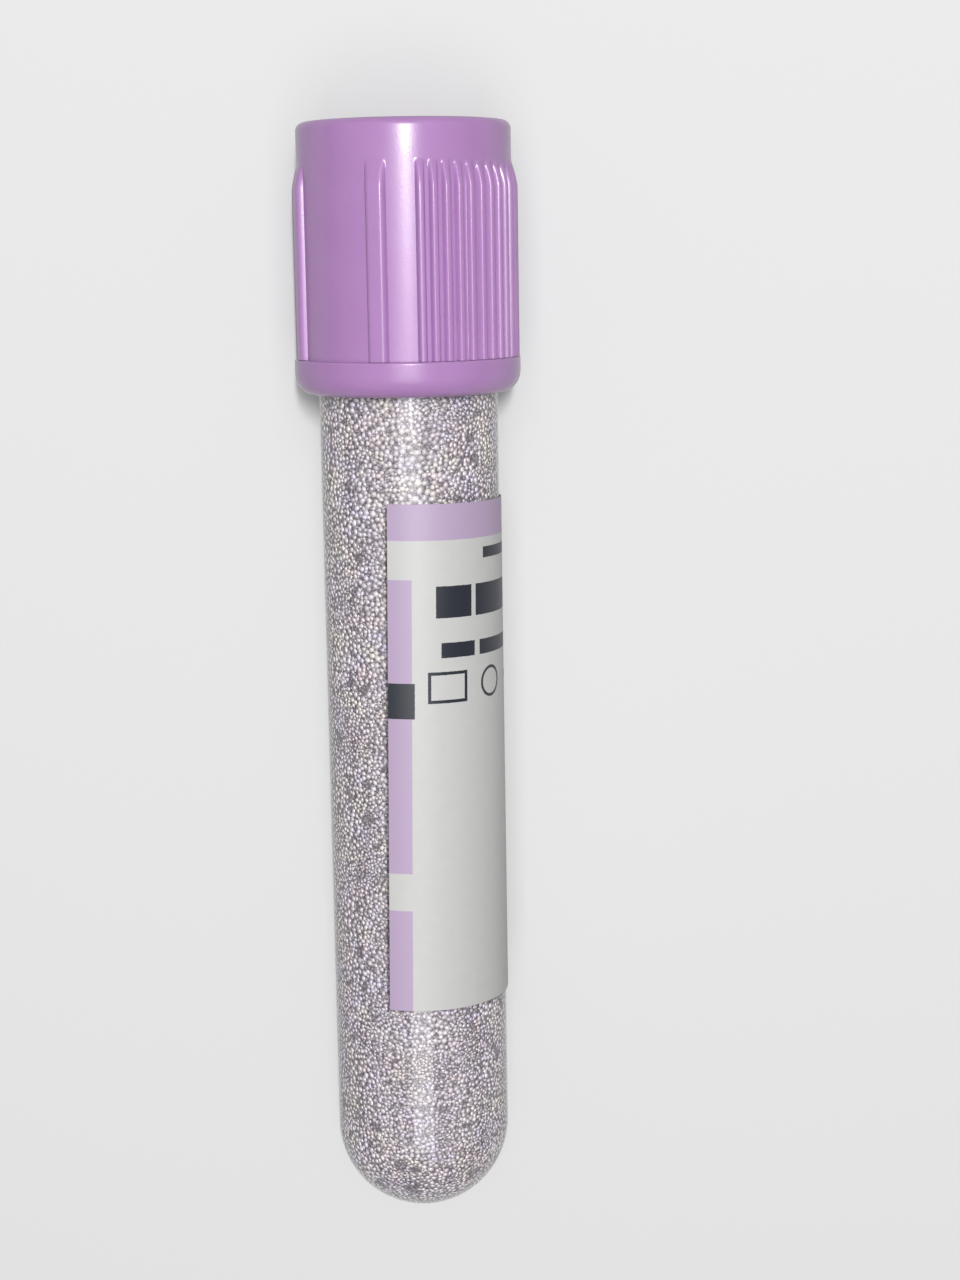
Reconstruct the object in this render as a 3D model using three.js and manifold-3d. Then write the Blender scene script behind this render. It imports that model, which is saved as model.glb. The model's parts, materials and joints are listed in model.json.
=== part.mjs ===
// A capped blood collection tube, lying on its side.
//
// A clear round-bottomed plastic tube carries a paper label outside and a sprayed coat of dried additive
// inside. A rubber stopper plugs its mouth, and a ribbed plastic cap is clipped over the stopper.
//
// Millimetres, +Z up. Every piece is drawn upright, with the tube's lowest point at height 0 and the
// tube's axis on +Z. One group then lays them all down, cap towards +Y, on the two rounds that touch
// the table: the cap's ring and the lower end of the tube's straight wall. Angles round the axis are in
// degrees from the side that faces up when the tube lies, and grow towards +X.

import * as THREE from 'three';
import { mergeVertices } from 'three/addons/utils/BufferGeometryUtils.js';
import Module from 'manifold-3d';

const wasm = await Module();
wasm.setup();

// Facets
const SIDES = 32; // flats round each turned piece, one of which faces the table
const END_STEPS = 8; // chords along the tube's round end, from its tip to its straight wall
const SMALL_ROUND_STEPS = 2;
const TOP_ROUND_STEPS = 3;
const RING_EDGE_STEPS = 4;
const RUNOUT_STEPS = 4;
const MERGE_DISTANCE = 1e-4;

// Tube
const TUBE_LENGTH = 75;
const TUBE_RADIUS = 6.5;
const TUBE_WALL = 1;
const RIM_ROUND = 0.3;

// Additive coat on the inner wall
const COAT_THICKNESS = 0.2;
const COAT_GAP = 0.05;
const COAT_TOP_BELOW_STOPPER = 2.5;

// Label
const LABEL_THICKNESS = 0.1;
const LABEL_GAP = 0.05;
const LABEL_BELOW_CAP = 7.7;
const LABEL_ABOVE_END = 10.7; // up from the lower end of the tube's straight wall
const LABEL_START_ANGLE = -15.8;
const LABEL_WRAP_ANGLE = 200;

// Stopper
const PLUG_GAP = 0.1;
const PLUG_LENGTH = 8.5;
const PLUG_LEAD = 0.5; // chamfer that guides the plug into the mouth
const RECESS_RADIUS = 3.2;
const RECESS_DEPTH = 4.8;
const FLANGE_HEIGHT = 4.1;
const FLANGE_OVERHANG = 0.45; // how far the flange stands out past the tube's outer wall
const FLANGE_EDGE = 0.3;
const WELL_RADIUS = 3.2;
const WELL_DEPTH = 3.2;
const WELL_DISH = 0.5; // how much deeper the well's middle is than its edge

// Cap
const CAP_HEIGHT = 19.2;
const CAP_WALL = 0.65; // beside the stopper's flange, where it is thinnest
const TOP_WALL = 1.8;
const TOP_ROUND = 0.6;
const HOLE_RADIUS = 4;
const HOLE_ROUND = 0.3;
const SKIRT_GAP = 0.45; // the skirt stands clear of the tube
const LEDGE_GAP = 0.15; // the ledge that holds the stopper in comes closer
const LEDGE_HEIGHT = 1.2;
const LEDGE_RAMP = 0.4;
const FLANGE_GAP = 0.1;
const RING_HEIGHT = 2.5;
const RING_EDGE_WIDTH = 1.2; // the ring's rounded lower edge, across and up
const RING_EDGE_HEIGHT = 1.55;

// Grip ribs: two groups of fine ribs, each between two wide ribs, and the group repeats half a turn on
const RIB_RISE = 0.5;
const RIB_SHORTFALL = 0.05; // ribs stay this much below the ring's face
const RIB_RUNOUT = 1.45; // length over which a rib's upper end curves into the wall
const RIB_FOOT = 0.7; // how far a rib's lower end is sunk into the ring
const BAND_HEIGHT = 2.85; // plain band above the ribs
const GRIP_GROUPS = 2;
const FINE_RIBS = 12;
const FINE_RIB_PITCH = 6.9;
const FINE_RIB_WIDTH = 0.55;
const WIDE_RIB_STEP = 23.3; // from the last fine rib of a group to the wide rib beside it
const WIDE_RIB_WIDTH = 1.45;
const GRIP_CENTRE_ANGLE = 47.2; // where the middle of the first group lies
const RIB_CHAMFER = 0.1;

// Axial clearance between pieces that seat on each other
const SEAT_GAP = 0.3;

// Heights and radii that follow from the sizes above
const tubeBore = TUBE_RADIUS - TUBE_WALL;
const endCentre = TUBE_RADIUS;
const plugBottom = TUBE_LENGTH - PLUG_LENGTH;
const flangeBottom = TUBE_LENGTH + SEAT_GAP;
const flangeTop = flangeBottom + FLANGE_HEIGHT;
const flangeRadius = TUBE_RADIUS + FLANGE_OVERHANG;
const grooveRadius = flangeRadius + FLANGE_GAP;
const ledgeTop = flangeBottom - SEAT_GAP;
const capRadius = grooveRadius + CAP_WALL;
const ringRadius = capRadius + RIB_RISE;
const capTop = flangeTop + SEAT_GAP + TOP_WALL;
const capBottom = capTop - CAP_HEIGHT;
const ringTop = capBottom + RING_HEIGHT;
const ringContact = capBottom + RING_EDGE_HEIGHT;
const labelTop = capBottom - LABEL_BELOW_CAP;
const labelBottom = endCentre + LABEL_ABOVE_END;
const coatTop = plugBottom - COAT_TOP_BELOW_STOPPER;

const flatAngle = 360 / SIDES;
const radians = THREE.MathUtils.degToRad;

// Points [radius, height] along an arc, or along an ellipse where its height differs from its width.
function arc(centreRadius, centreHeight, width, from, to, steps, height = width) {
  const points = [];
  for (let i = 0; i <= steps; i += 1) {
    const angle = radians(from + ((to - from) * i) / steps);
    points.push([centreRadius + width * Math.cos(angle), centreHeight + height * Math.sin(angle)]);
  }
  return points;
}

// Leaves only positions, with shared corners merged, so that the shape is one closed surface.
function closed(geometry) {
  geometry.deleteAttribute('normal');
  geometry.deleteAttribute('uv');
  return mergeVertices(geometry, MERGE_DISTANCE);
}

// Turns an outline of [radius, height] points about +Z. A radius is measured to the middle of a flat.
function turned(outline) {
  const cornerScale = 1 / Math.cos(radians(flatAngle / 2));
  const points = outline.map(([radius, height]) => new THREE.Vector2(radius * cornerScale, height));
  const geometry = new THREE.LatheGeometry(points, SIDES, radians(-flatAngle / 2));
  geometry.rotateX(Math.PI / 2);
  return closed(geometry);
}

// A point on a flat-sided round, at an angle about the axis; the radius is to the middle of a flat.
function onFlats(angle, radius) {
  const fromFlat = angle - flatAngle * Math.round(angle / flatAngle);
  const reach = radius / Math.cos(radians(fromFlat));
  return new THREE.Vector2(reach * Math.sin(radians(angle)), -reach * Math.cos(radians(angle)));
}

// A wall bent round the axis from one angle to another, with the same flats as the turned pieces.
function bentWall(innerRadius, outerRadius, from, to, height) {
  const angles = [from];
  const firstCorner = (Math.floor(from / flatAngle - 0.5) + 1.5) * flatAngle;
  for (let corner = firstCorner; corner < to; corner += flatAngle) {
    angles.push(corner);
  }
  angles.push(to);
  const outer = angles.map((angle) => onFlats(angle, outerRadius));
  const inner = angles.map((angle) => onFlats(angle, innerRadius)).reverse();
  const shape = new THREE.Shape([...outer, ...inner]);
  return closed(new THREE.ExtrudeGeometry(shape, { depth: height, bevelEnabled: false }));
}

function asSolid(geometry) {
  const vertProperties = new Float32Array(geometry.attributes.position.array);
  const triVerts = new Uint32Array(geometry.index.array);
  return new wasm.Manifold(new wasm.Mesh({ numProp: 3, vertProperties, triVerts }));
}

function asGeometry(solid) {
  const mesh = solid.getMesh();
  const geometry = new THREE.BufferGeometry();
  geometry.setAttribute('position', new THREE.BufferAttribute(mesh.vertProperties, 3));
  geometry.setIndex(new THREE.BufferAttribute(mesh.triVerts, 1));
  return geometry;
}

function tubeGeometry() {
  const rimHeight = TUBE_LENGTH - RIM_ROUND;
  return turned([
    ...arc(0, endCentre, TUBE_RADIUS, -90, 0, END_STEPS),
    ...arc(TUBE_RADIUS - RIM_ROUND, rimHeight, RIM_ROUND, 0, 90, SMALL_ROUND_STEPS),
    ...arc(tubeBore + RIM_ROUND, rimHeight, RIM_ROUND, 90, 180, SMALL_ROUND_STEPS),
    ...arc(0, endCentre, tubeBore, 0, -90, END_STEPS),
  ]);
}

function coatGeometry() {
  const outerRadius = tubeBore - COAT_GAP;
  const innerRadius = outerRadius - COAT_THICKNESS;
  return turned([
    ...arc(0, endCentre, outerRadius, -90, 0, END_STEPS),
    [outerRadius, coatTop],
    [innerRadius, coatTop],
    ...arc(0, endCentre, innerRadius, 0, -90, END_STEPS),
  ]);
}

function labelGeometry() {
  const innerRadius = TUBE_RADIUS + LABEL_GAP;
  const endAngle = LABEL_START_ANGLE + LABEL_WRAP_ANGLE;
  const outerRadius = innerRadius + LABEL_THICKNESS;
  const height = labelTop - labelBottom;
  const geometry = bentWall(innerRadius, outerRadius, LABEL_START_ANGLE, endAngle, height);
  geometry.translate(0, 0, labelBottom);
  return geometry;
}

function stopperGeometry() {
  const plugRadius = tubeBore - PLUG_GAP;
  const recessTop = plugBottom + RECESS_DEPTH;
  const wellFloor = flangeTop - WELL_DEPTH;
  return turned([
    [0, recessTop],
    [RECESS_RADIUS, recessTop],
    [RECESS_RADIUS, plugBottom],
    [plugRadius - PLUG_LEAD, plugBottom],
    [plugRadius, plugBottom + PLUG_LEAD],
    [plugRadius, flangeBottom],
    [flangeRadius, flangeBottom],
    [flangeRadius, flangeTop - FLANGE_EDGE],
    [flangeRadius - FLANGE_EDGE, flangeTop],
    [WELL_RADIUS, flangeTop],
    [WELL_RADIUS, wellFloor],
    [0, wellFloor - WELL_DISH],
  ]);
}

// The cap without its ribs: skirt, lower ring, groove for the stopper's flange and holed top.
function capShell() {
  const skirtBore = TUBE_RADIUS + SKIRT_GAP;
  const ledgeRadius = TUBE_RADIUS + LEDGE_GAP;
  const ledgeBottom = ledgeTop - LEDGE_HEIGHT;
  const outline = [
    [skirtBore, capBottom],
    ...arc(ringRadius - RING_EDGE_WIDTH, ringContact, RING_EDGE_WIDTH, -90, 0, RING_EDGE_STEPS,
      RING_EDGE_HEIGHT),
    [ringRadius, ringTop],
    [capRadius, ringTop],
    ...arc(capRadius - TOP_ROUND, capTop - TOP_ROUND, TOP_ROUND, 0, 90, TOP_ROUND_STEPS),
    ...arc(HOLE_RADIUS + HOLE_ROUND, capTop - HOLE_ROUND, HOLE_ROUND, 90, 180, SMALL_ROUND_STEPS),
    [HOLE_RADIUS, capTop - TOP_WALL],
    [grooveRadius, capTop - TOP_WALL],
    [grooveRadius, ledgeTop],
    [ledgeRadius, ledgeTop],
    [ledgeRadius, ledgeBottom],
    [skirtBore, ledgeBottom - LEDGE_RAMP],
  ];
  return turned([...outline, outline[0]]);
}

// One rib at an angle round the cap: its side view, given its width, with its root inside the wall.
function ribGeometry(width, angle) {
  const root = capRadius - CAP_WALL / 2;
  const crest = ringRadius - RIB_SHORTFALL;
  const foot = ringTop - RIB_FOOT;
  const runoutBottom = capTop - BAND_HEIGHT - RIB_RUNOUT;
  const outline = [
    [root, foot],
    [crest, foot],
    ...arc(root, runoutBottom, crest - root, 0, 90, RUNOUT_STEPS, RIB_RUNOUT),
  ];
  const shape = new THREE.Shape(outline.map(([radius, height]) => new THREE.Vector2(radius, height)));
  const geometry = new THREE.ExtrudeGeometry(shape, {
    depth: width - 2 * RIB_CHAMFER,
    bevelSize: RIB_CHAMFER,
    bevelOffset: -RIB_CHAMFER,
    bevelThickness: RIB_CHAMFER,
    bevelSegments: 1,
  });
  geometry.translate(0, 0, RIB_CHAMFER - width / 2);
  geometry.rotateX(Math.PI / 2);
  geometry.rotateZ(radians(angle - 90));
  return closed(geometry);
}

// Width and angle of every rib round the cap.
function ribPlaces() {
  const places = [];
  const lastFine = ((FINE_RIBS - 1) / 2) * FINE_RIB_PITCH;
  for (let group = 0; group < GRIP_GROUPS; group += 1) {
    const centre = GRIP_CENTRE_ANGLE + (group * 360) / GRIP_GROUPS;
    for (let i = 0; i < FINE_RIBS; i += 1) {
      places.push([FINE_RIB_WIDTH, centre - lastFine + i * FINE_RIB_PITCH]);
    }
    places.push([WIDE_RIB_WIDTH, centre - lastFine - WIDE_RIB_STEP]);
    places.push([WIDE_RIB_WIDTH, centre + lastFine + WIDE_RIB_STEP]);
  }
  return places;
}

function capGeometry() {
  let cap = asSolid(capShell());
  for (const [width, angle] of ribPlaces()) {
    cap = cap.add(asSolid(ribGeometry(width, angle)));
  }
  return asGeometry(cap);
}

const materials = {
  clearPlastic: new THREE.MeshStandardMaterial({
    color: 0xe9ecef, roughness: 0.05, metalness: 0, transparent: true, opacity: 0.3,
  }),
  paper: new THREE.MeshStandardMaterial({ color: 0xdcdadf, roughness: 0.6, metalness: 0 }),
  lavenderPlastic: new THREE.MeshStandardMaterial({ color: 0xaf82be, roughness: 0.3, metalness: 0 }),
  rubber: new THREE.MeshStandardMaterial({ color: 0x8a6a96, roughness: 0.7, metalness: 0 }),
  driedSpray: new THREE.MeshStandardMaterial({ color: 0xd2d0cc, roughness: 0.25, metalness: 0 }),
};

function piece(name, geometry, material) {
  const mesh = new THREE.Mesh(geometry, material);
  mesh.name = name;
  return mesh;
}

// Lies so that the ring and the lower end of the tube's straight wall touch one plane.
const lean = Math.atan2(ringRadius - TUBE_RADIUS, ringContact - endCentre);
const lying = new THREE.Group();
lying.rotation.x = lean - Math.PI / 2;
lying.add(
  piece('tube', tubeGeometry(), materials.clearPlastic),
  piece('additive_coat', coatGeometry(), materials.driedSpray),
  piece('label', labelGeometry(), materials.paper),
  piece('stopper', stopperGeometry(), materials.rubber),
  piece('cap', capGeometry(), materials.lavenderPlastic),
);

// The origin is the middle of the object's box, at table height.
const bounds = new THREE.Box3().setFromObject(lying, true);
const middle = bounds.getCenter(new THREE.Vector3());
lying.position.set(-middle.x, -middle.y, -bounds.min.z);

const bloodCollectionTube = new THREE.Group();
bloodCollectionTube.add(lying);

export default bloodCollectionTube;
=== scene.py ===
# %% [markdown]
# # A blood collection tube
#
# A clear round-bottomed plastic tube lies on its side. It has a ribbed lavender cap over a rubber
# stopper, a paper label round its body, and a coat of dried additive on its inner wall that glints
# like frost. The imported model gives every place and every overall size. This lesson keeps to them and
# gives each piece the finer shape and the finish of the real one.

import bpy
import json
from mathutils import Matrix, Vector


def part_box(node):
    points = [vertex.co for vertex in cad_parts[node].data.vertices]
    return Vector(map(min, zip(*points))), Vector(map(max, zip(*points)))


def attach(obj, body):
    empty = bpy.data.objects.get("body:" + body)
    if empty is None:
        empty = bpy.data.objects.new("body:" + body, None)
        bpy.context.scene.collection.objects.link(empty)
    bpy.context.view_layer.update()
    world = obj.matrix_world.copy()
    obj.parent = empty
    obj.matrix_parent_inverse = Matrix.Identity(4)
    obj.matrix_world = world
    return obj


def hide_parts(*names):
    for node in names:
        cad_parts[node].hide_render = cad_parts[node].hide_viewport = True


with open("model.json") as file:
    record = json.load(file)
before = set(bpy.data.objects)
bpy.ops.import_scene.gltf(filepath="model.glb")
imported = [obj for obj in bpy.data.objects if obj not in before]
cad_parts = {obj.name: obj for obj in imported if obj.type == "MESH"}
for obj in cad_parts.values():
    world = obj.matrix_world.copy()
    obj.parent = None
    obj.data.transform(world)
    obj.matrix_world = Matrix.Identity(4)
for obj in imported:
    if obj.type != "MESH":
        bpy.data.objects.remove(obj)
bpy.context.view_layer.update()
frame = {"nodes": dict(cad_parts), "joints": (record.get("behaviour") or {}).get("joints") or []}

# %% [markdown]
# ## Working upright
#
# A turned piece is easiest to model upright, in millimetres, round the vertical axis. The real tube
# lies on the table, leaning by less than two degrees because its cap is wider than its body. So each
# piece is drawn upright, and one matrix then lays it down. The matrix comes from the frame: the joint
# that turns the cap gives the tube's axis, and the CAD tube's lowest point along it gives the foot.

# %% The matrix that lays a piece down
import json
import math
import random

import bpy
from mathutils import Matrix, Vector
from mathutils.noise import noise as noise_at

MM = 0.001

joints = {joint["name"]: joint for joint in frame["joints"]}
along = Vector(joints["cap_turn"]["axis"])
across = Vector((1, 0, 0))
pivot = Vector(joints["cap_turn"]["pos_m"])
tube_corners = [vertex.co for vertex in frame["nodes"]["tube"].data.vertices]
foot = pivot + along * min((corner - pivot).dot(along) for corner in tube_corners)
turn = Matrix((across, along.cross(across), along)).transposed().to_4x4()
lay_down = Matrix.Translation(foot) @ turn @ Matrix.Scale(MM, 4)
stand_up = lay_down.inverted()
print("the tube's lowest point lies at", [round(x, 5) for x in foot])

# %% [markdown]
# The overall sizes are read from the CAD nodes, stood upright: how far each one reaches along the
# axis, and half its width, which on a turned piece is its radius.

# %% Sizes from the frame
def reach(node):
    """The lowest and highest point of a CAD node along the tube's axis, in mm."""
    heights = [(stand_up @ vertex.co).z for vertex in frame["nodes"][node].data.vertices]
    return min(heights), max(heights)


def half_width(node):
    """Half of a CAD node's width, in mm."""
    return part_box(node)[1].x / MM


tube_radius = half_width("tube")
tube_top = reach("tube")[1]
cap_bottom, cap_top = reach("cap")
ring_radius = half_width("cap")
plug_bottom, flange_top = reach("stopper")
flange_radius = half_width("stopper")
label_bottom, label_top = reach("label")
label_radius = half_width("label")
coat_top = reach("additive_coat")[1]
print(f"tube radius {tube_radius:.2f}, length {tube_top:.2f}")
print(f"cap {cap_bottom:.2f} to {cap_top:.2f}, ring radius {ring_radius:.2f}")
print(f"stopper {plug_bottom:.2f} to {flange_top:.2f}, radius {flange_radius:.2f}")
print(f"label {label_bottom:.2f} to {label_top:.2f}, radius {label_radius:.2f}")
print(f"coat up to {coat_top:.2f}")

# %% [markdown]
# ## Camera
#
# The camera looks down on the tube from above its cap, a little to its right. It leans towards the
# round end and is rolled by a degree.

# %% Camera
CAMERA_X, CAMERA_Y, CAMERA_Z = 5.3, 27.0, 172.4  # mm
CAMERA_LEAN, CAMERA_ROLL = -8.3, -0.9  # degrees
LENS = 63  # mm
NEAREST_SEEN = 0.005  # m

bpy.ops.object.camera_add(
    location=(CAMERA_X * MM, CAMERA_Y * MM, CAMERA_Z * MM),
    rotation=(math.radians(CAMERA_LEAN), 0, math.radians(CAMERA_ROLL)),
)
camera = bpy.context.object
camera.data.lens = LENS
camera.data.clip_start = NEAREST_SEEN
bpy.context.scene.camera = camera
print("the camera is", CAMERA_Z, "mm above the table")

# %% [markdown]
# ## Finishes
#
# A finish is a tree of nodes that ends in a shader. A few short helpers build such trees, so that each
# finish below reads as a recipe: which colours it is mixed from, how rough it is, how fine its grain.

# %% Helpers for materials
def new_material(name):
    """A material with its node tree and its Principled node."""
    material = bpy.data.materials.new(name)
    material.use_nodes = True
    tree = material.node_tree
    return material, tree, tree.nodes["Principled BSDF"]


def node(tree, kind, **settings):
    """Adds a node. Settings with the name of an input set that input."""
    made = tree.nodes.new(kind)
    for name, value in settings.items():
        if name in made.inputs:
            made.inputs[name].default_value = value
        else:
            setattr(made, name, value)
    return made


def maths(tree, operation, *values):
    """A Math node. Each value is a number or another node's output."""
    made = tree.nodes.new("ShaderNodeMath")
    made.operation = operation
    for place, value in zip(made.inputs, values):
        if isinstance(value, (int, float)):
            place.default_value = value
        else:
            tree.links.new(value, place)
    return made.outputs[0]


def blended(tree, share, first, second):
    """One colour turning into another as share goes from 0 to 1."""
    made = tree.nodes.new("ShaderNodeMix")
    made.data_type = "RGBA"
    factor, colour_a, colour_b = made.inputs[0], made.inputs[6], made.inputs[7]
    for place, value in zip((factor, colour_a, colour_b), (share, first, second)):
        if isinstance(value, (int, float)):
            place.default_value = value
        elif isinstance(value, tuple):
            place.default_value = (*value, 1)
        else:
            tree.links.new(value, place)
    return made.outputs[2]  # the colour, after the outputs for numbers and vectors


# %% [markdown]
# ## Table
#
# The table is a plain pale sheet. To the eye, and in gloss and clear plastic, it is pale. To light that
# bounces between surfaces it is darker, so that round pieces keep shaded sides. A Light Path node tells
# the two apart.

# %% Table
def seen(tree):
    """1 for what the eye sees directly, in gloss or through clear plastic, and 0 for other light."""
    path = node(tree, "ShaderNodeLightPath")
    direct = maths(tree, "MAXIMUM", path.outputs["Is Camera Ray"], path.outputs["Is Glossy Ray"])
    return maths(tree, "MAXIMUM", direct, path.outputs["Is Transmission Ray"])


FLOOR_SIZE = 3.0
FLOOR_SEEN = (0.72, 0.72, 0.72)
FLOOR_BOUNCE = (0.22, 0.22, 0.22)
FLOOR_ROUGHNESS, FLOOR_SHINE = 0.9, 0.1

bpy.ops.mesh.primitive_plane_add(size=FLOOR_SIZE, location=(0, 0, 0))
floor = bpy.context.object
floor.name = "floor"
floor_paint, tree, shader = new_material("pale table")
tree.links.new(blended(tree, seen(tree), FLOOR_BOUNCE, FLOOR_SEEN), shader.inputs["Base Color"])
shader.inputs["Roughness"].default_value = FLOOR_ROUGHNESS
shader.inputs["Specular IOR Level"].default_value = FLOOR_SHINE
floor.data.materials.append(floor_paint)
print("the table is", FLOOR_SIZE, "m across")

# %% [markdown]
# ## Light
#
# Two lamps hang over the table. A narrow key lamp, in line with the tube, draws the bright line down
# the cap and the glints on ribs and beads. A long softbox high above lights everything evenly and gives
# the clear wall its quiet sheen. The room around is grey and fills the shaded sides a little.

# %% Lamps
def lamp(name, place, lean, size, watts):
    """A rectangular area lamp over the table, leaning round the X and Y axes by some degrees."""
    turned = [math.radians(angle) for angle in lean] + [0]
    bpy.ops.object.light_add(type="AREA", location=place, rotation=turned)
    light = bpy.context.object
    light.name = name
    light.data.shape = "RECTANGLE"
    light.data.size, light.data.size_y = size
    light.data.energy = watts
    print(f"{name}: {size[0]} by {size[1]} m, {watts} W")


lamp("key lamp", place=(0.035, 0.108, 0.54), lean=(11, 4), size=(0.024, 0.104), watts=1.85)
lamp("softbox", place=(0.05, 0.0, 1.75), lean=(0, 2), size=(0.88, 2.0), watts=16.9)

# %% Room
ROOM = (0.115, 0.115, 0.118, 1)
world = bpy.data.worlds.new("room")
world.use_nodes = True
bpy.context.scene.world = world
background = world.node_tree.nodes["Background"]
background.inputs["Color"].default_value = ROOM
background.inputs["Strength"].default_value = 1.0
print("the room's colour is", ROOM[:3])

# %% [markdown]
# ## Working on a piece
#
# Operators act on what is selected, so each step starts with nothing selected. A modifier is applied as
# soon as it is added. When a piece is done it is laid down in its place, which is then kept in its mesh.
# Last, it is tied to the frame: which body it rides on and which CAD node it replaces.

# %% Helpers for a piece
def deselect_all():
    """Leaves nothing selected."""
    for thing in bpy.context.selected_objects:
        thing.select_set(False)


def use_modifier(piece, kind, **settings):
    """Adds a modifier with these settings and applies it."""
    bpy.context.view_layer.objects.active = piece
    modifier = piece.modifiers.new(kind.lower(), kind)
    for name, value in settings.items():
        setattr(modifier, name, value)
    bpy.ops.object.modifier_apply(modifier=modifier.name)


def smoothed(piece, angle=35):
    """Smooth shading, with edges sharper than the angle left crisp."""
    deselect_all()
    piece.select_set(True)
    bpy.context.view_layer.objects.active = piece
    bpy.ops.object.shade_smooth_by_angle(angle=math.radians(angle))


def placed(piece, body, replaced):
    """Lays an upright piece down and ties it to the frame."""
    deselect_all()
    piece.select_set(True)
    bpy.context.view_layer.objects.active = piece
    piece.matrix_world = lay_down
    bpy.ops.object.transform_apply(location=True, rotation=True, scale=True)
    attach(piece, body)
    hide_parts(replaced)
    triangles = sum(len(face.vertices) - 2 for face in piece.data.polygons)
    print(f"{piece.name}: {triangles} triangles")


# %% [markdown]
# ## The tube
#
# The real tube is injection-moulded polyester: a straight wall one millimetre thick, a half-round
# bottom and a rounded rim. A sphere gives the bottom at once. Its upper half is cut away, the open rim
# is pulled up to the full length, and Solidify gives the shell its wall. The coat inside has the same
# shape, so one function makes both.

# %% A shell with a round bottom
def round_bottomed(name, radius, top, wall, sides):
    """A shell of this outer radius, round at the bottom and open at the top, on the tube's axis."""
    deselect_all()
    bpy.ops.mesh.primitive_uv_sphere_add(
        segments=sides, ring_count=sides // 2, radius=radius, location=(0, 0, tube_radius)
    )
    shell = bpy.context.object
    shell.name = name
    bpy.ops.object.transform_apply(location=True, rotation=False, scale=False)
    bpy.ops.object.mode_set(mode="EDIT")
    bpy.ops.mesh.select_all(action="SELECT")
    bpy.ops.mesh.bisect(
        plane_co=(0, 0, tube_radius), plane_no=(0, 0, 1), clear_outer=True, threshold=0.001
    )
    bpy.ops.mesh.select_all(action="DESELECT")
    bpy.ops.mesh.select_mode(type="EDGE")
    bpy.ops.mesh.select_non_manifold()
    rise = top - tube_radius
    bpy.ops.mesh.extrude_edges_move(TRANSFORM_OT_translate={"value": (0, 0, rise)})
    bpy.ops.object.mode_set(mode="OBJECT")
    use_modifier(shell, "SOLIDIFY", thickness=wall, offset=-1, use_even_offset=True)
    print(f"{name}: open at {top:.2f} mm up, with a wall of {wall} mm")
    return shell


# %% Tube shape
TUBE_WALL = 1.0
RIM_ROUND = 0.3
TUBE_SIDES = 128

tube = round_bottomed("clear_tube", tube_radius, tube_top, TUBE_WALL, TUBE_SIDES)
use_modifier(tube, "BEVEL", width=RIM_ROUND, segments=4, limit_method="ANGLE",
             angle_limit=math.radians(60))
smoothed(tube)

# %% [markdown]
# No real surface has one even colour and gloss. Fine clouds of noise, measured in millimetres on the
# piece, vary them a little on every finish, and a low bump gives each its grain.

# %% Helpers for clouds and grain
def in_mm(tree):
    """Object coordinates in millimetres."""
    place = node(tree, "ShaderNodeTexCoord")
    scale = node(tree, "ShaderNodeMapping", Scale=(1 / MM, 1 / MM, 1 / MM))
    tree.links.new(place.outputs["Object"], scale.inputs["Vector"])
    return scale.outputs["Vector"]


def noise(tree, vector, scale, detail=2.0):
    """A cloudy value around 0.5, with that many features to a unit of the vector."""
    made = node(tree, "ShaderNodeTexNoise", Scale=scale, Detail=detail)
    tree.links.new(vector, made.inputs["Vector"])
    return made.outputs["Fac"]


def graded(tree, value, low, high):
    """Turns a value from 0 to 1 into one from low to high."""
    made = tree.nodes.new("ShaderNodeMapRange")
    made.inputs["To Min"].default_value = low
    made.inputs["To Max"].default_value = high
    tree.links.new(value, made.inputs["Value"])
    return made.outputs["Result"]


def bumped(tree, height, distance, shader):
    """Gives a shader a bump that is distance high, in metres."""
    made = node(tree, "ShaderNodeBump", Distance=distance, Strength=1.0)
    tree.links.new(height, made.inputs["Height"])
    tree.links.new(made.outputs["Normal"], shader.inputs["Normal"])


# %% [markdown]
# Clear plastic bends light. A ray that meets the tube near its edge is bent into the wall and
# mirrored inside it, which is why both edges look like grey bands. Light from lamps, and light that
# bounces off what is inside, is let straight through by two Mix shaders, so that it makes no noise.

# %% Clear plastic
CLEAR_TINT = (0.985, 0.99, 0.99, 1)
LET_THROUGH = (0.93, 0.935, 0.94, 1)
CLEAR_ROUGHNESS = 0.04, 0.1
CLEAR_RIPPLE = 0.00004  # height in m
CLEAR_IOR = 1.57

clear, tree, shader = new_material("clear polyester")
shader.inputs["Base Color"].default_value = CLEAR_TINT
shader.inputs["Transmission Weight"].default_value = 1.0
shader.inputs["IOR"].default_value = CLEAR_IOR
spots = in_mm(tree)
clouds = noise(tree, spots, scale=0.8)
tree.links.new(graded(tree, clouds, *CLEAR_ROUGHNESS), shader.inputs["Roughness"])
bumped(tree, noise(tree, spots, scale=0.15), CLEAR_RIPPLE, shader)
through = node(tree, "ShaderNodeBsdfTransparent", Color=LET_THROUGH)
path = node(tree, "ShaderNodeLightPath")
surface = shader
for ray in ("Is Diffuse Ray", "Is Shadow Ray"):
    mix = node(tree, "ShaderNodeMixShader")
    tree.links.new(path.outputs[ray], mix.inputs[0])
    tree.links.new(surface.outputs[0], mix.inputs[1])
    tree.links.new(through.outputs[0], mix.inputs[2])
    surface = mix
tree.links.new(surface.outputs[0], tree.nodes["Material Output"].inputs["Surface"])
tube.data.materials.append(clear)
placed(tube, "tube", "tube")

# %% [markdown]
# ## Turned pieces
#
# The cap and the stopper are turned shapes with many steps. Each starts as a ring of edges. The ring is
# pulled along the axis and widened or narrowed from point to point of an outline, as a potter pulls up
# a wall. An outline is a list of points, each a radius and a height, with its round stretches as arcs.

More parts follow.
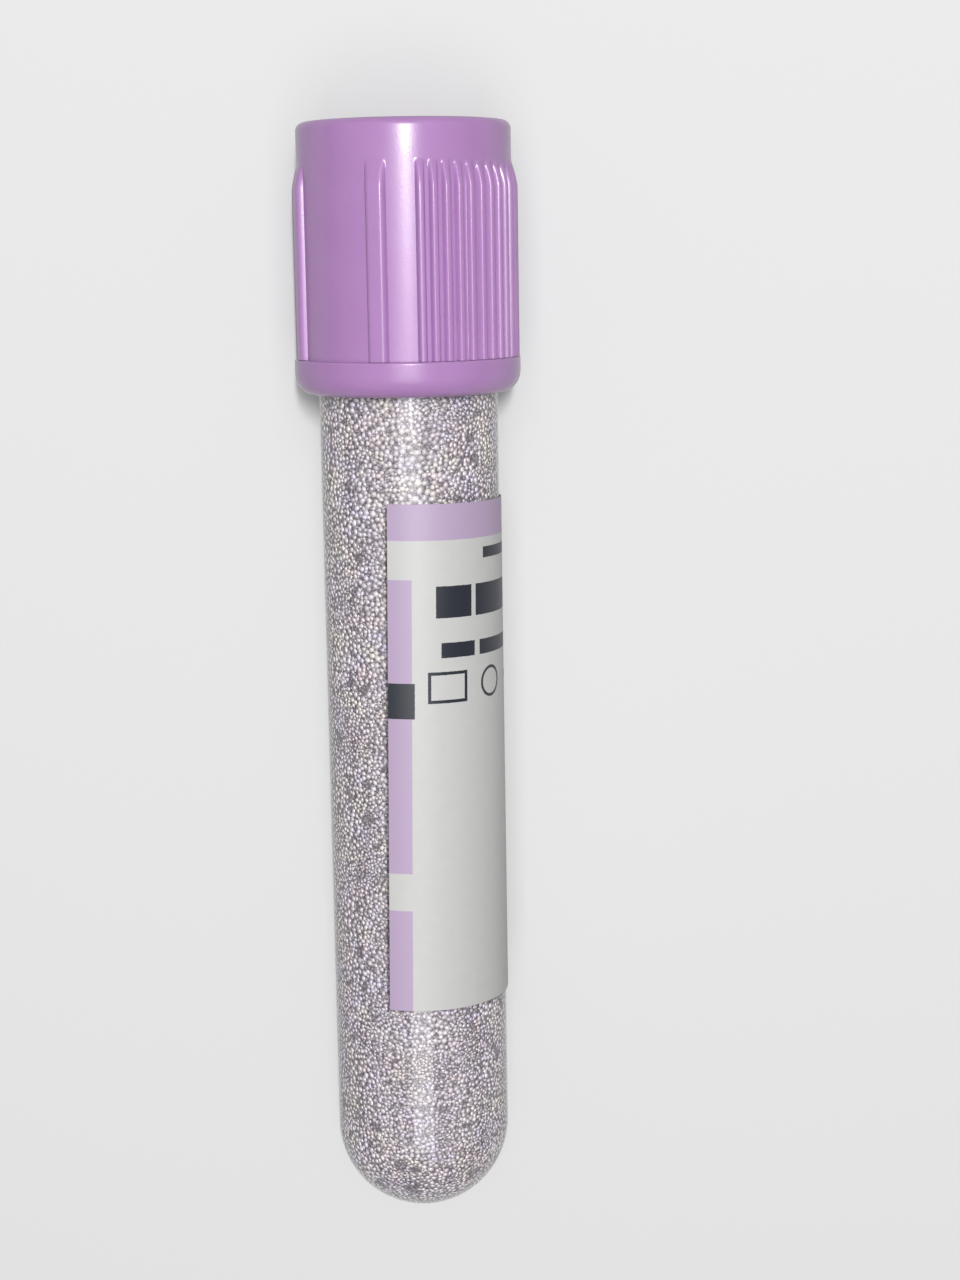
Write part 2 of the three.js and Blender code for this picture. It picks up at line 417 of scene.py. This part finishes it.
# %% Outline and ring helpers
def arc(radius, height, width, start, end, steps, rise=None):
    """Points along an arc round the point (radius, height). A rise makes it an ellipse."""
    rise = width if rise is None else rise
    angles = [math.radians(start + (end - start) * i / steps) for i in range(steps + 1)]
    return [(radius + width * math.cos(a), height + rise * math.sin(a)) for a in angles]


def pulled(name, outline, sides):
    """A shell round the axis, pulled from point to point of an outline."""
    deselect_all()
    radius, height = outline[0]
    bpy.ops.mesh.primitive_circle_add(vertices=sides, radius=radius, location=(0, 0, height))
    piece = bpy.context.object
    piece.name = name
    bpy.ops.object.mode_set(mode="EDIT")
    bpy.ops.mesh.select_all(action="SELECT")
    for next_radius, next_height in outline[1:]:
        rise = next_height - height
        bpy.ops.mesh.extrude_edges_move(TRANSFORM_OT_translate={"value": (0, 0, rise)})
        growth = next_radius / radius
        bpy.ops.transform.resize(value=(growth, growth, 1), center_override=(0, 0, next_height))
        radius, height = next_radius, next_height
    bpy.ops.object.mode_set(mode="OBJECT")
    bpy.ops.object.transform_apply(location=True, rotation=False, scale=False)
    return piece


def closed_up(piece):
    """Joins a shell's two open rings into one closed skin, facing outwards."""
    bpy.ops.object.mode_set(mode="EDIT")
    bpy.ops.mesh.select_all(action="DESELECT")
    bpy.ops.mesh.select_mode(type="EDGE")
    bpy.ops.mesh.select_non_manifold()
    bpy.ops.mesh.bridge_edge_loops()
    bpy.ops.mesh.select_all(action="SELECT")
    bpy.ops.mesh.normals_make_consistent(inside=False)
    bpy.ops.object.mode_set(mode="OBJECT")


# %% [markdown]
# ## The cap
#
# The cap is one moulded shell. A smooth ring runs round its lower edge. Above the ring the wall is set
# back, and ribs for the fingers stand on it. Their upper ends curve back into the wall below a plain
# band. The end has a hole for the needle. Inside, a ledge and a groove hold the stopper.

# %% Cap sizes
CAP_SIDES = 720
RING_HEIGHT = 2.5
RING_STEP = 0.5  # how far the wall is set back from the ring
RIB_SHORTFALL = 0.05
RIB_RUNOUT = 1.9
RUNOUT_CURVE = 1.4  # 1 would be a straight slope, more is rounder
BAND_HEIGHT = 2.85
TOP_WALL = 1.8
TOP_ROUND = 0.6
HOLE_RADIUS = 4.0
HOLE_ROUND = 0.3
SKIRT_GAP = 0.45
LEDGE_GAP = 0.15
LEDGE_HEIGHT = 1.2
LEDGE_RAMP = 0.4
GROOVE_GAP = 0.1
EDGE_WIDTH, EDGE_RISE = 1.2, 1.55  # the ring's rounded lower edge
GRIP_ROWS, RUNOUT_ROWS = 6, 14  # rows of corners for the ribs to be drawn with
SMALL_ROUND = 0.12
CREASE = 0.06  # a narrow row beside a rounding, which keeps the shading of the next face flat
FOOT = 0.03  # chamfer where one wall meets the next
ABOVE_RIBS = 0.15
SKIRT_EDGE = 0.05

wall_radius = ring_radius - RING_STEP
ring_top = cap_bottom + RING_HEIGHT
rib_top = cap_top - BAND_HEIGHT
runout_start = rib_top - RIB_RUNOUT
skirt_bore = tube_radius + SKIRT_GAP
ledge_bore = tube_radius + LEDGE_GAP
groove_bore = flange_radius + GROOVE_GAP
end_wall = cap_top - TOP_WALL
ledge_low, ledge_high = tube_top - LEDGE_HEIGHT, tube_top
print(f"wall radius {wall_radius:.2f}, ribs from {ring_top:.2f} to {rib_top:.2f}")

# %% Cap shell
outline = arc(
    ring_radius - EDGE_WIDTH, cap_bottom + EDGE_RISE, EDGE_WIDTH, -90, 0, steps=10, rise=EDGE_RISE
)
outline.append((ring_radius, ring_top - SMALL_ROUND - CREASE))
outline += arc(ring_radius - SMALL_ROUND, ring_top - SMALL_ROUND, SMALL_ROUND, 0, 90, steps=4)
outline += [(wall_radius + FOOT, ring_top), (wall_radius, ring_top + FOOT)]
for i in range(1, GRIP_ROWS + 1):
    outline.append((wall_radius, ring_top + (runout_start - ring_top) * i / GRIP_ROWS))
for i in range(1, RUNOUT_ROWS + 1):
    outline.append((wall_radius, runout_start + RIB_RUNOUT * i / RUNOUT_ROWS))
outline.append((wall_radius, rib_top + ABOVE_RIBS))
outline += arc(wall_radius - TOP_ROUND, cap_top - TOP_ROUND, TOP_ROUND, 0, 90, steps=8)
outline += arc(HOLE_RADIUS + HOLE_ROUND, cap_top - HOLE_ROUND, HOLE_ROUND, 90, 180, steps=6)
outline += [(HOLE_RADIUS, end_wall), (groove_bore, end_wall), (groove_bore, ledge_high)]
outline += [(ledge_bore, ledge_high), (ledge_bore, ledge_low + LEDGE_RAMP)]
outline += [(skirt_bore, ledge_low), (skirt_bore, cap_bottom + SKIRT_EDGE)]
cap = pulled("lavender_cap", outline, CAP_SIDES)
closed_up(cap)
print("cap shell has", len(cap.data.vertices), "corners")

# %% [markdown]
# The ribs are cast, in Blender's sense: the Cast modifier moves the wall's corners out onto a wider
# cylinder, as far as a vertex group says. The group's weight is 1 along a rib's crest, falls away in a
# quarter-round down its flanks, and fades out in a curve where the rib runs back into the wall.

# %% Where the ribs stand
GROUPS = 2
FINE_RIBS = 12
FINE_PITCH = 6.9  # degrees
WIDE_STEP = 23.1  # degrees from a group's last fine rib to the wide rib beside it
FINE_WIDTH, WIDE_WIDTH = 0.58, 1.4
GRIP_CENTRE = 47.8  # degrees from the side that faces up, growing towards +X
FINE_SHOULDER, WIDE_SHOULDER = 0.2, 0.34  # width of the quarter-round on each side of a rib

half_group = FINE_PITCH * (FINE_RIBS - 1) / 2
ribs = []
for group in range(GROUPS):
    middle = 360 / GROUPS * group
    for i in range(FINE_RIBS):
        ribs.append((middle - half_group + FINE_PITCH * i, FINE_WIDTH, FINE_SHOULDER))
    for side in (-1, 1):
        ribs.append((middle + side * (half_group + WIDE_STEP), WIDE_WIDTH, WIDE_SHOULDER))
print(len(ribs), "ribs")


# %% Ribs cast from the wall
def rib_share(angle):
    """How far the wall stands out at an angle, from 0 on the wall to 1 on a rib's crest."""
    share = 0.0
    for place, width, shoulder in ribs:
        apart = abs((angle - place + 180) % 360 - 180)
        distance = math.radians(apart) * wall_radius
        down_the_flank = (distance - width / 2) / shoulder + 1
        if down_the_flank < 1:
            share = max(share, math.sqrt(1 - max(0, down_the_flank) ** 2))
    return share


NEAR = 0.01  # mm, for finding the wall's corners by their place

columns = [rib_share(360 * i / CAP_SIDES) for i in range(CAP_SIDES)]
grip = cap.vertex_groups.new(name="ribs")
for vertex in cap.data.vertices:
    x, y, height = vertex.co
    on_wall = abs(math.hypot(x, y) - wall_radius) < NEAR
    if on_wall and ring_top < height < rib_top + NEAR:
        column = round(math.degrees(math.atan2(x, -y)) * CAP_SIDES / 360) % CAP_SIDES
        into_runout = max(0, height - runout_start) / RIB_RUNOUT
        fade = max(0, 1 - into_runout**RUNOUT_CURVE)
        grip.add([vertex.index], columns[column] * fade, "REPLACE")
use_modifier(cap, "CAST", cast_type="CYLINDER", factor=1, use_z=False, use_radius_as_size=False,
             size=ring_radius - RIB_SHORTFALL, vertex_group="ribs")
cap.rotation_euler.z = math.radians(GRIP_CENTRE)
bpy.ops.object.transform_apply(location=False, rotation=True, scale=False)
smoothed(cap, angle=40)
print(sum(share > 0 for share in columns), "of", CAP_SIDES, "columns of corners belong to a rib")

# %% [markdown]
# The cap's plastic is coloured through and slightly milky, with a soft gloss. A little light goes in
# and comes out nearby, which subsurface scattering gives. Fine clouds vary the colour and the gloss.

# %% Lavender plastic
LAVENDER_DEEP, LAVENDER_PALE = (0.43, 0.23, 0.495), (0.47, 0.26, 0.535)
CAP_ROUGHNESS = 0.2, 0.29
CAP_GRAIN = 0.000006  # height in m
CAP_IOR = 1.5
MILKINESS = 0.25
MILKY_RADIUS, MILKY_DEPTH = (1.0, 0.6, 1.1), 0.0012  # red, green and blue shares of a depth in m

lavender, tree, shader = new_material("lavender plastic")
spots = in_mm(tree)
clouds = noise(tree, spots, scale=0.35, detail=3)
colour = blended(tree, clouds, LAVENDER_DEEP, LAVENDER_PALE)
tree.links.new(colour, shader.inputs["Base Color"])
grain = noise(tree, spots, scale=9, detail=3)
tree.links.new(graded(tree, grain, *CAP_ROUGHNESS), shader.inputs["Roughness"])
shader.inputs["IOR"].default_value = CAP_IOR
shader.inputs["Subsurface Weight"].default_value = MILKINESS
shader.inputs["Subsurface Radius"].default_value = MILKY_RADIUS
shader.inputs["Subsurface Scale"].default_value = MILKY_DEPTH
bumped(tree, grain, CAP_GRAIN, shader)
cap.data.materials.append(lavender)
placed(cap, "cap", "cap")

# %% [markdown]
# ## The stopper
#
# The rubber stopper plugs the tube's mouth. Its flange sits on the rim and its top has a well that
# shows through the hole in the cap. It is one turned solid, pulled like the cap and closed at both
# middles.

# %% Stopper sizes
STOPPER_SIDES = 128
PLUG_GAP = 0.1
PLUG_LEAD = 0.5
RECESS_RADIUS, RECESS_DEPTH = 3.2, 4.8
RECESS_ROUND, RECESS_LIP = 0.6, 0.2
WELL_RADIUS, WELL_DEPTH, WELL_DISH, WELL_LIP = 3.2, 3.2, 0.5, 0.25
FLANGE_HEIGHT = 4.1
FLANGE_EDGE = 0.3
FLANGE_FOOT = 0.02
DISH_STEPS = 8
MIDDLE = 0.05  # the last small ring, which is filled

plug_radius = tube_radius - TUBE_WALL - PLUG_GAP
flange_bottom = flange_top - FLANGE_HEIGHT
recess_top = plug_bottom + RECESS_DEPTH
well_floor = flange_top - WELL_DEPTH
print(f"plug radius {plug_radius:.2f}, flange from {flange_bottom:.2f} to {flange_top:.2f}")

# %% Stopper shape
outline = [(MIDDLE, recess_top)]
outline += arc(
    RECESS_RADIUS - RECESS_ROUND, recess_top - RECESS_ROUND, RECESS_ROUND, 90, 0, steps=6
)
outline += arc(RECESS_RADIUS + RECESS_LIP, plug_bottom + RECESS_LIP, RECESS_LIP, 180, 270, steps=4)
outline += arc(plug_radius - PLUG_LEAD, plug_bottom + PLUG_LEAD, PLUG_LEAD, -90, 0, steps=6)
outline += [(plug_radius, flange_bottom - FLANGE_FOOT / 2), (plug_radius + FLANGE_FOOT, flange_bottom)]
edge_radius = flange_radius - FLANGE_EDGE
outline += arc(edge_radius, flange_bottom + FLANGE_EDGE, FLANGE_EDGE, -90, 0, steps=5)
outline += arc(edge_radius, flange_top - FLANGE_EDGE, FLANGE_EDGE, 0, 90, steps=5)
outline += arc(WELL_RADIUS + WELL_LIP, flange_top - WELL_LIP, WELL_LIP, 90, 180, steps=5)
outline += [(WELL_RADIUS, well_floor)]
for i in range(1, DISH_STEPS):
    inwards = 1 - i / DISH_STEPS
    outline.append((WELL_RADIUS * inwards, well_floor - WELL_DISH * (1 - inwards**2)))
outline.append((MIDDLE, well_floor - WELL_DISH))
stopper = pulled("rubber_stopper", outline, STOPPER_SIDES)
bpy.ops.object.mode_set(mode="EDIT")
bpy.ops.mesh.select_all(action="DESELECT")
bpy.ops.mesh.select_mode(type="EDGE")
bpy.ops.mesh.select_non_manifold()
bpy.ops.mesh.fill_holes(sides=STOPPER_SIDES)
bpy.ops.mesh.select_all(action="SELECT")
bpy.ops.mesh.normals_make_consistent(inside=False)
bpy.ops.object.mode_set(mode="OBJECT")
smoothed(stopper)

# %% Rubber
RUBBER_DARK, RUBBER_PALE = (0.15, 0.085, 0.17), (0.2, 0.12, 0.225)
RUBBER_ROUGHNESS = 0.5, 0.7
RUBBER_GRAIN = 0.00003  # height in m

rubber, tree, shader = new_material("stopper rubber")
spots = in_mm(tree)
speckle = noise(tree, spots, scale=6, detail=4)
colour = blended(tree, speckle, RUBBER_DARK, RUBBER_PALE)
tree.links.new(colour, shader.inputs["Base Color"])
tree.links.new(graded(tree, speckle, *RUBBER_ROUGHNESS), shader.inputs["Roughness"])
bumped(tree, speckle, RUBBER_GRAIN, shader)
stopper.data.materials.append(rubber)
placed(stopper, "stopper", "stopper")

# %% [markdown]
# ## The label
#
# The label is coated paper, glued round a little more than half of the tube. A thin open cylinder
# gives its curve. The part that would cover the clear window is deleted, and Solidify gives the paper
# its thickness, with a second material for the plain side that faces the tube.

# %% Label sheet
LABEL_START, LABEL_WRAP = -15.8, 200  # degrees
LABEL_CROOKED = 1.0  # degrees that the sheet is turned out of line
PAPER = 0.1
LABEL_SIDES = 180

label_height = label_top - label_bottom
label_width = math.radians(LABEL_WRAP) * label_radius
deselect_all()
bpy.ops.mesh.primitive_cylinder_add(
    vertices=LABEL_SIDES, radius=label_radius, depth=label_height, end_fill_type="NOTHING",
    location=(0, 0, label_bottom + label_height / 2),
    rotation=(0, 0, math.radians(LABEL_START)),
)
label = bpy.context.object
label.name = "paper_label"
bpy.ops.object.transform_apply(location=True, rotation=True, scale=False)


def label_angle(x, y):
    """Degrees round the axis from the label's starting edge."""
    return (math.degrees(math.atan2(x, -y)) - LABEL_START) % 360


bpy.ops.object.mode_set(mode="EDIT")
bpy.ops.mesh.select_all(action="DESELECT")
bpy.ops.object.mode_set(mode="OBJECT")
for face in label.data.polygons:
    face.select = label_angle(face.center.x, face.center.y) > LABEL_WRAP
bpy.ops.object.mode_set(mode="EDIT")
bpy.ops.mesh.select_mode(type="FACE")
bpy.ops.mesh.delete(type="FACE")
bpy.ops.object.mode_set(mode="OBJECT")
print(len(label.data.polygons), "strips of paper,", round(label_width, 2), "mm wide")

# %% [markdown]
# The print needs to know where it is on the sheet. A UV map lays the sheet out flat: U runs from the
# starting edge round the tube, and V runs up from the lower edge.

# %% Map of the sheet
sheet_map = label.data.uv_layers.new(name="sheet")
for face in label.data.polygons:
    middle = label_angle(face.center.x, face.center.y)
    for loop in face.loop_indices:
        point = label.data.vertices[label.data.loops[loop].vertex_index].co
        angle = label_angle(point.x, point.y)
        if abs(angle - middle) > 180:
            angle -= math.copysign(360, angle - middle)
        upward = (point.z - label_bottom) / label_height
        sheet_map.data[loop].uv = (angle / LABEL_WRAP, upward)
print("the map has", len(sheet_map.data), "corners")

# %% [markdown]
# A machine puts the label on, never quite straight. This one sits a degree out of line, so each of its
# corners is turned by that much about the middle of the sheet, as on a flat table.

# %% Slightly crooked
crooked = math.radians(LABEL_CROOKED)
label_middle = label_bottom + label_height / 2
for vertex in label.data.vertices:
    x, y, height = vertex.co
    angle = label_angle(x, y)
    if angle > (360 + LABEL_WRAP) / 2:
        angle -= 360
    aside = math.radians(angle - LABEL_WRAP / 2) * label_radius
    above = height - label_middle
    turned_aside = aside * math.cos(crooked) + above * math.sin(crooked)
    turned_above = above * math.cos(crooked) - aside * math.sin(crooked)
    spin = math.radians(LABEL_START + LABEL_WRAP / 2) + turned_aside / label_radius
    radius = math.hypot(x, y)
    vertex.co = (radius * math.sin(spin), -radius * math.cos(spin), label_middle + turned_above)
print("the label is turned by", LABEL_CROOKED, "degree")

# %% [markdown]
# The print is drawn with nodes, in millimetres across and down the sheet: a lavender band along the top,
# a lavender strip with a dark square beside the starting edge, and plain rules and boxes to write in.
# A field of ink is 1 inside its edges and 0 outside, and the coordinates are shaken a little first,
# because a printed edge is never quite sharp.

# %% Places on the sheet
INK_SHAKE = 0.08  # mm

printed, tree, shader = new_material("printed paper")
sheet = node(tree, "ShaderNodeUVMap", uv_map="sheet")
size = node(tree, "ShaderNodeMapping", Scale=(label_width, label_height, 1))
tree.links.new(sheet.outputs[0], size.inputs["Vector"])
on_sheet = size.outputs[0]
parts = node(tree, "ShaderNodeSeparateXYZ")
tree.links.new(on_sheet, parts.inputs[0])
shake = maths(tree, "SUBTRACT", noise(tree, on_sheet, scale=9), 0.5)
shake = maths(tree, "MULTIPLY", shake, INK_SHAKE)
right = maths(tree, "ADD", parts.outputs["X"], shake)
down = maths(tree, "SUBTRACT", label_height, maths(tree, "ADD", parts.outputs["Y"], shake))
print(f"the sheet is {label_width:.1f} by {label_height:.1f} mm")


# %% Shapes of ink
def block(left, top, width, height):
    """A filled rectangle of ink."""
    inside_x = maths(tree, "COMPARE", right, left + width / 2, width / 2)
    inside_y = maths(tree, "COMPARE", down, top + height / 2, height / 2)
    return maths(tree, "MULTIPLY", inside_x, inside_y)


def frame_line(left, top, width, height, line):
    """A rectangle drawn as a line."""
    inner = block(left + line, top + line, width - 2 * line, height - 2 * line)
    return maths(tree, "SUBTRACT", block(left, top, width, height), inner)


def ring_line(middle_x, middle_y, radius, line):
    """A circle drawn as a line."""
    off_x = maths(tree, "SUBTRACT", right, middle_x)
    off_y = maths(tree, "SUBTRACT", down, middle_y)
    squares = maths(tree, "ADD", maths(tree, "POWER", off_x, 2), maths(tree, "POWER", off_y, 2))
    return maths(tree, "COMPARE", maths(tree, "SQRT", squares), radius, line / 2)


def together(fields):
    """The union of several fields."""
    whole = fields[0]
    for field in fields[1:]:
        whole = maths(tree, "MAXIMUM", whole, field)
    return whole


# %% What is printed
BAND = 2.6
STRIP = 1.75
BLEED = 1  # how far ink that meets an edge is drawn past it
WRITING_LINES, LINE_STEP = 6, 3.8

lavender_fields = [
    block(-BLEED, -BLEED, label_width + 2 * BLEED, BAND + BLEED),
    block(-BLEED, 5.4, STRIP + BLEED, 21.6),
    block(-BLEED, 29.8, STRIP + BLEED, 9),
]
dark_fields = [
    block(-BLEED, 12.9, 1.95 + BLEED, 2.6),
    block(7.6, 3.3, 5.6, 0.8),
    block(3.5, 5.9, 2.9, 2.3),
    block(6.8, 5.9, 5.4, 2.3),
    block(3.9, 10.0, 2.8, 1.1),
    block(7.2, 10.0, 4.6, 1.1),
    frame_line(2.9, 12.1, 3.1, 2.3, line=0.24),
    ring_line(8.5, 13.2, 1.05, line=0.22),
    block(11.4, 12.9, 3.6, 0.5),
]
dark_fields += [block(13.5, 14.5 + LINE_STEP * i, 8.5, 0.18) for i in range(WRITING_LINES)]
print(len(lavender_fields), "lavender fields and", len(dark_fields), "dark ones")

# %% Paper and ink
PAPER_WHITE = (0.60, 0.60, 0.585)
PAPER_GREY = tuple(0.93 * c for c in PAPER_WHITE)
PAPER_ROUGHNESS = 0.38, 0.5
PAPER_FIBRE = 0.000012  # height in m
INK_LAVENDER = (0.47, 0.36, 0.52)
INK_DARK = (0.022, 0.026, 0.038)

paper_tone = noise(tree, on_sheet, scale=1.2, detail=4)
colour = blended(tree, paper_tone, PAPER_WHITE, PAPER_GREY)
colour = blended(tree, together(lavender_fields), colour, INK_LAVENDER)
colour = blended(tree, together(dark_fields), colour, INK_DARK)
tree.links.new(colour, shader.inputs["Base Color"])
fibre = noise(tree, on_sheet, scale=14, detail=4)
tree.links.new(graded(tree, fibre, *PAPER_ROUGHNESS), shader.inputs["Roughness"])
bumped(tree, fibre, PAPER_FIBRE, shader)
print("the print takes", len(tree.nodes), "nodes")

# %% Plain side and thickness
BACK_GREY, BACK_WHITE = (0.6, 0.6, 0.58), (0.66, 0.66, 0.64)
BACK_ROUGHNESS = 0.7
BACK_FIBRE = 0.00002  # height in m

plain_paper, tree, shader = new_material("plain paper")
spots = in_mm(tree)
fibre = noise(tree, spots, scale=14, detail=4)
tree.links.new(blended(tree, fibre, BACK_GREY, BACK_WHITE), shader.inputs["Base Color"])
shader.inputs["Roughness"].default_value = BACK_ROUGHNESS
bumped(tree, fibre, BACK_FIBRE, shader)

label.data.materials.append(printed)
label.data.materials.append(plain_paper)
use_modifier(label, "SOLIDIFY", thickness=PAPER, offset=-1, use_even_offset=True,
             material_offset=1, material_offset_rim=1)
smoothed(label)
placed(label, "tube", "label")

# %% [markdown]
# ## The dried additive
#
# The additive is sprayed into the tube and dries on its inner wall, as a grey film of the finest spray
# with thousands of tiny beads on it. The film is a thin shell like the tube's. Its pale specks are the
# finest spray, and its dark ground is painted shade: it stands for the shaded inside of the tube, seen
# in the gaps between the beads. It keys a hair into the wall, so no light is mirrored off the bore where
# the film wets it, and the tube's edges stay dim.

# %% Film of fine spray
KEYED = 0.03  # how far the film reaches into the wall
FILM = 0.08
FILM_SIDES = 96
# The dark colour is painted shade for the gaps between the beads; the pale one is the finest spray.
PAINTED_GAP_SHADE, SPRAY_PALE = (0.21, 0.178, 0.205), (0.6, 0.56, 0.59)
SPRAY_ROUGHNESS = 0.35, 0.55
SPRAY_HEIGHT = 0.00006  # m
SPECKS = 5.0  # to a mm
SPECK_PROFILE = 1.0, -0.6  # height at a speck's middle, and one whole speck away from it

bore = tube_radius - TUBE_WALL
film = round_bottomed("coat_film", bore + KEYED, coat_top, FILM, FILM_SIDES)
smoothed(film)

spray_and_painted_shade, tree, shader = new_material("fine spray over painted shade")
spots = in_mm(tree)
specks = node(tree, "ShaderNodeTexVoronoi", Scale=SPECKS)
tree.links.new(spots, specks.inputs["Vector"])
drops = graded(tree, specks.outputs["Distance"], *SPECK_PROFILE)
tree.links.new(blended(tree, drops, PAINTED_GAP_SHADE, SPRAY_PALE), shader.inputs["Base Color"])
tree.links.new(graded(tree, noise(tree, spots, scale=2), *SPRAY_ROUGHNESS), shader.inputs["Roughness"])
bumped(tree, drops, SPRAY_HEIGHT, shader)
film.data.materials.append(spray_and_painted_shade)
placed(film, "tube", "additive_coat")

# %% [markdown]
# Each bead is about as wide as a grain of salt, coarser near the mouth. One bead is modelled as a small
# faceted ball, flattened against the wall, and copied. Places are tried at random, and a place that is
# too close to another bead is dropped, which packs them as drops of spray do.

# %% Sizes and places of the beads
BEAD_COARSE, BEAD_FINE = 0.245, 0.195  # radius of a large bead near the mouth and near the round end
SUNK = 0.6  # share of its radius that a bead sits in the wall
FLOW = 0.4  # how much coarser or finer the beads are from one stretch of wall to the next
TONE_BIAS = 0.5  # below 1, more of the beads are pale than dull
BARE, RAGGED = 0.28, 0.25  # how strong a cloud of noise keeps beads away, and how unsharp its edge is
FLOW_CLOUDS, BARE_CLOUDS = 0.45, 1.1  # features to a mm
FILLERS, FILLER_SHARE = 0.75, 0.3  # later beads shrink by up to this much, to fill the gaps
UNEVEN = 0.85, 1.1
TRIES = 150000
TIP_CLEAR = 0.2  # no bead lies right on the tip
CLOSEST = 0.7  # beads may come closer than touching, as drops that ran together do

straight_length = coat_top - tube_radius
end_length = math.pi / 2 * bore
coat_length = straight_length + end_length
print(f"the coat runs {coat_length:.1f} mm up the wall from the tip")


def wall_point(distance, angle):
    """A point on the inner wall and the direction into the tube, by distance from the tip."""
    if distance > end_length:
        inwards = Vector((-math.sin(angle), math.cos(angle), 0))
        point = Vector((0, 0, tube_radius + distance - end_length)) - inwards * bore
        return point, inwards
    tilt = distance / bore
    inwards = Vector(
        (-math.sin(tilt) * math.sin(angle), math.sin(tilt) * math.cos(angle), math.cos(tilt))
    )
    return Vector((0, 0, tube_radius)) - inwards * bore, inwards


# %% Beads tried at random
random.seed(5)
cell = 3 * BEAD_COARSE  # of a grid that finds a bead's neighbours quickly
grid = {}
beads = []

for attempt in range(TRIES):
    distance = random.uniform(TIP_CLEAR, coat_length)
    angle = random.uniform(-math.pi, math.pi)
    if distance < end_length and random.random() > math.sin(distance / bore):
        continue
    shrink = 1 - FILLERS * attempt / TRIES * random.random() ** FILLER_SHARE
    share = distance / coat_length
    point, inwards = wall_point(distance, angle)
    flow = 1 + FLOW * noise_at(point * FLOW_CLOUDS)
    full_size = BEAD_FINE + (BEAD_COARSE - BEAD_FINE) * share
    radius = full_size * shrink * flow * random.uniform(*UNEVEN)
    if noise_at(point * BARE_CLOUDS) > BARE + RAGGED * random.random():
        continue
    home = tuple(int(c // cell) for c in point)
    near = (
        other
        for dx in (-1, 0, 1) for dy in (-1, 0, 1) for dz in (-1, 0, 1)
        for other in grid.get((home[0] + dx, home[1] + dy, home[2] + dz), ())
    )
    if all((point - other[0]).length > CLOSEST * (radius + other[1]) for other in near):
        grid.setdefault(home, []).append((point, radius))
        beads.append((point, inwards, radius, random.random() ** TONE_BIAS))
print(len(beads), "beads")

# %% One bead, copied
FLATTENED = 0.8
LONGEST = 1.22  # the most that a bead is stretched along the wall

deselect_all()
bpy.ops.mesh.primitive_ico_sphere_add(subdivisions=1, radius=1)
seed_bead = bpy.context.object
bpy.ops.object.mode_set(mode="EDIT")
bpy.ops.transform.resize(value=(1, 1, FLATTENED), center_override=(0, 0, 0))
bpy.ops.object.mode_set(mode="OBJECT")
bead_points = [vertex.co.copy() for vertex in seed_bead.data.vertices]
bead_faces = [tuple(face.vertices) for face in seed_bead.data.polygons]
bpy.data.objects.remove(seed_bead)
print("a bead has", len(bead_faces), "faces")


def strewn(name, chosen):
    """One mesh of many beads, each turned to the wall and stretched its own way, with its own tone."""
    points, faces, tones = [], [], []
    for point, inwards, radius, tone in chosen:
        on_wall = inwards.to_track_quat("Z", "Y").to_matrix()
        spin = Matrix.Rotation(random.uniform(0, math.pi), 3, "Z")
        longer = random.uniform(1, LONGEST)
        turned = on_wall @ spin @ Matrix.Diagonal((longer, 1 / longer, 1))
        middle = point + inwards * radius * (FLATTENED - SUNK)
        start = len(points)
        points += [middle + turned @ (corner * radius) for corner in bead_points]
        faces += [tuple(start + index for index in face) for face in bead_faces]
        tones += [tone] * len(bead_points)
    mesh = bpy.data.meshes.new(name)
    mesh.from_pydata(points, [], faces)
    mesh.attributes.new("tone", "FLOAT", "POINT").data.foreach_set("value", tones)
    piece = bpy.data.objects.new(name, mesh)
    bpy.context.collection.objects.link(piece)
    return piece


# %% [markdown]
# The dried beads are pale and glassy. Each has its own tone from dull to bright, kept as an attribute,
# and clouds of noise tint them cream, pink or lilac. A small share of metal gives them their glint.

# %% Bead finish
CREAM, PINK, LILAC = (1.0, 0.96, 0.84), (1.0, 0.84, 0.85), (0.87, 0.8, 1.0)
DULL = (0.57, 0.515, 0.545)
SILVER = 0.1
BEAD_ROUGHNESS = 0.3, 0.42
CREAM_SPREAD, PINK_SPREAD = (-1.2, 2.2), (-1.6, 2.0)  # reaching past 0 and 1, so clouds have edges

frosted, tree, shader = new_material("dried spray")
tone = node(tree, "ShaderNodeAttribute", attribute_name="tone")
spots = in_mm(tree)
creamy = graded(tree, noise(tree, spots, scale=0.45, detail=3), *CREAM_SPREAD)
tint = blended(tree, creamy, LILAC, CREAM)
pinkish = graded(tree, noise(tree, spots, scale=0.7, detail=3), *PINK_SPREAD)
tint = blended(tree, pinkish, tint, PINK)
colour = blended(tree, tone.outputs["Fac"], DULL, tint)
tree.links.new(colour, shader.inputs["Base Color"])
shader.inputs["Metallic"].default_value = SILVER
tree.links.new(graded(tree, tone.outputs["Fac"], *BEAD_ROUGHNESS), shader.inputs["Roughness"])

beads.sort(key=lambda bead: bead[0].z)
names = ["beads_lower", "beads_middle", "beads_upper", "beads_top"]
share = math.ceil(len(beads) / len(names))
for i, name in enumerate(names):
    piece = strewn(name, beads[i * share:(i + 1) * share])
    piece.data.materials.append(frosted)
    smoothed(piece, angle=180)
    placed(piece, "tube", "additive_coat")

# %% [markdown]
# ## Finish
#
# The view settings stay plain.

# %% Finish
bpy.context.scene.view_settings.view_transform = "Standard"
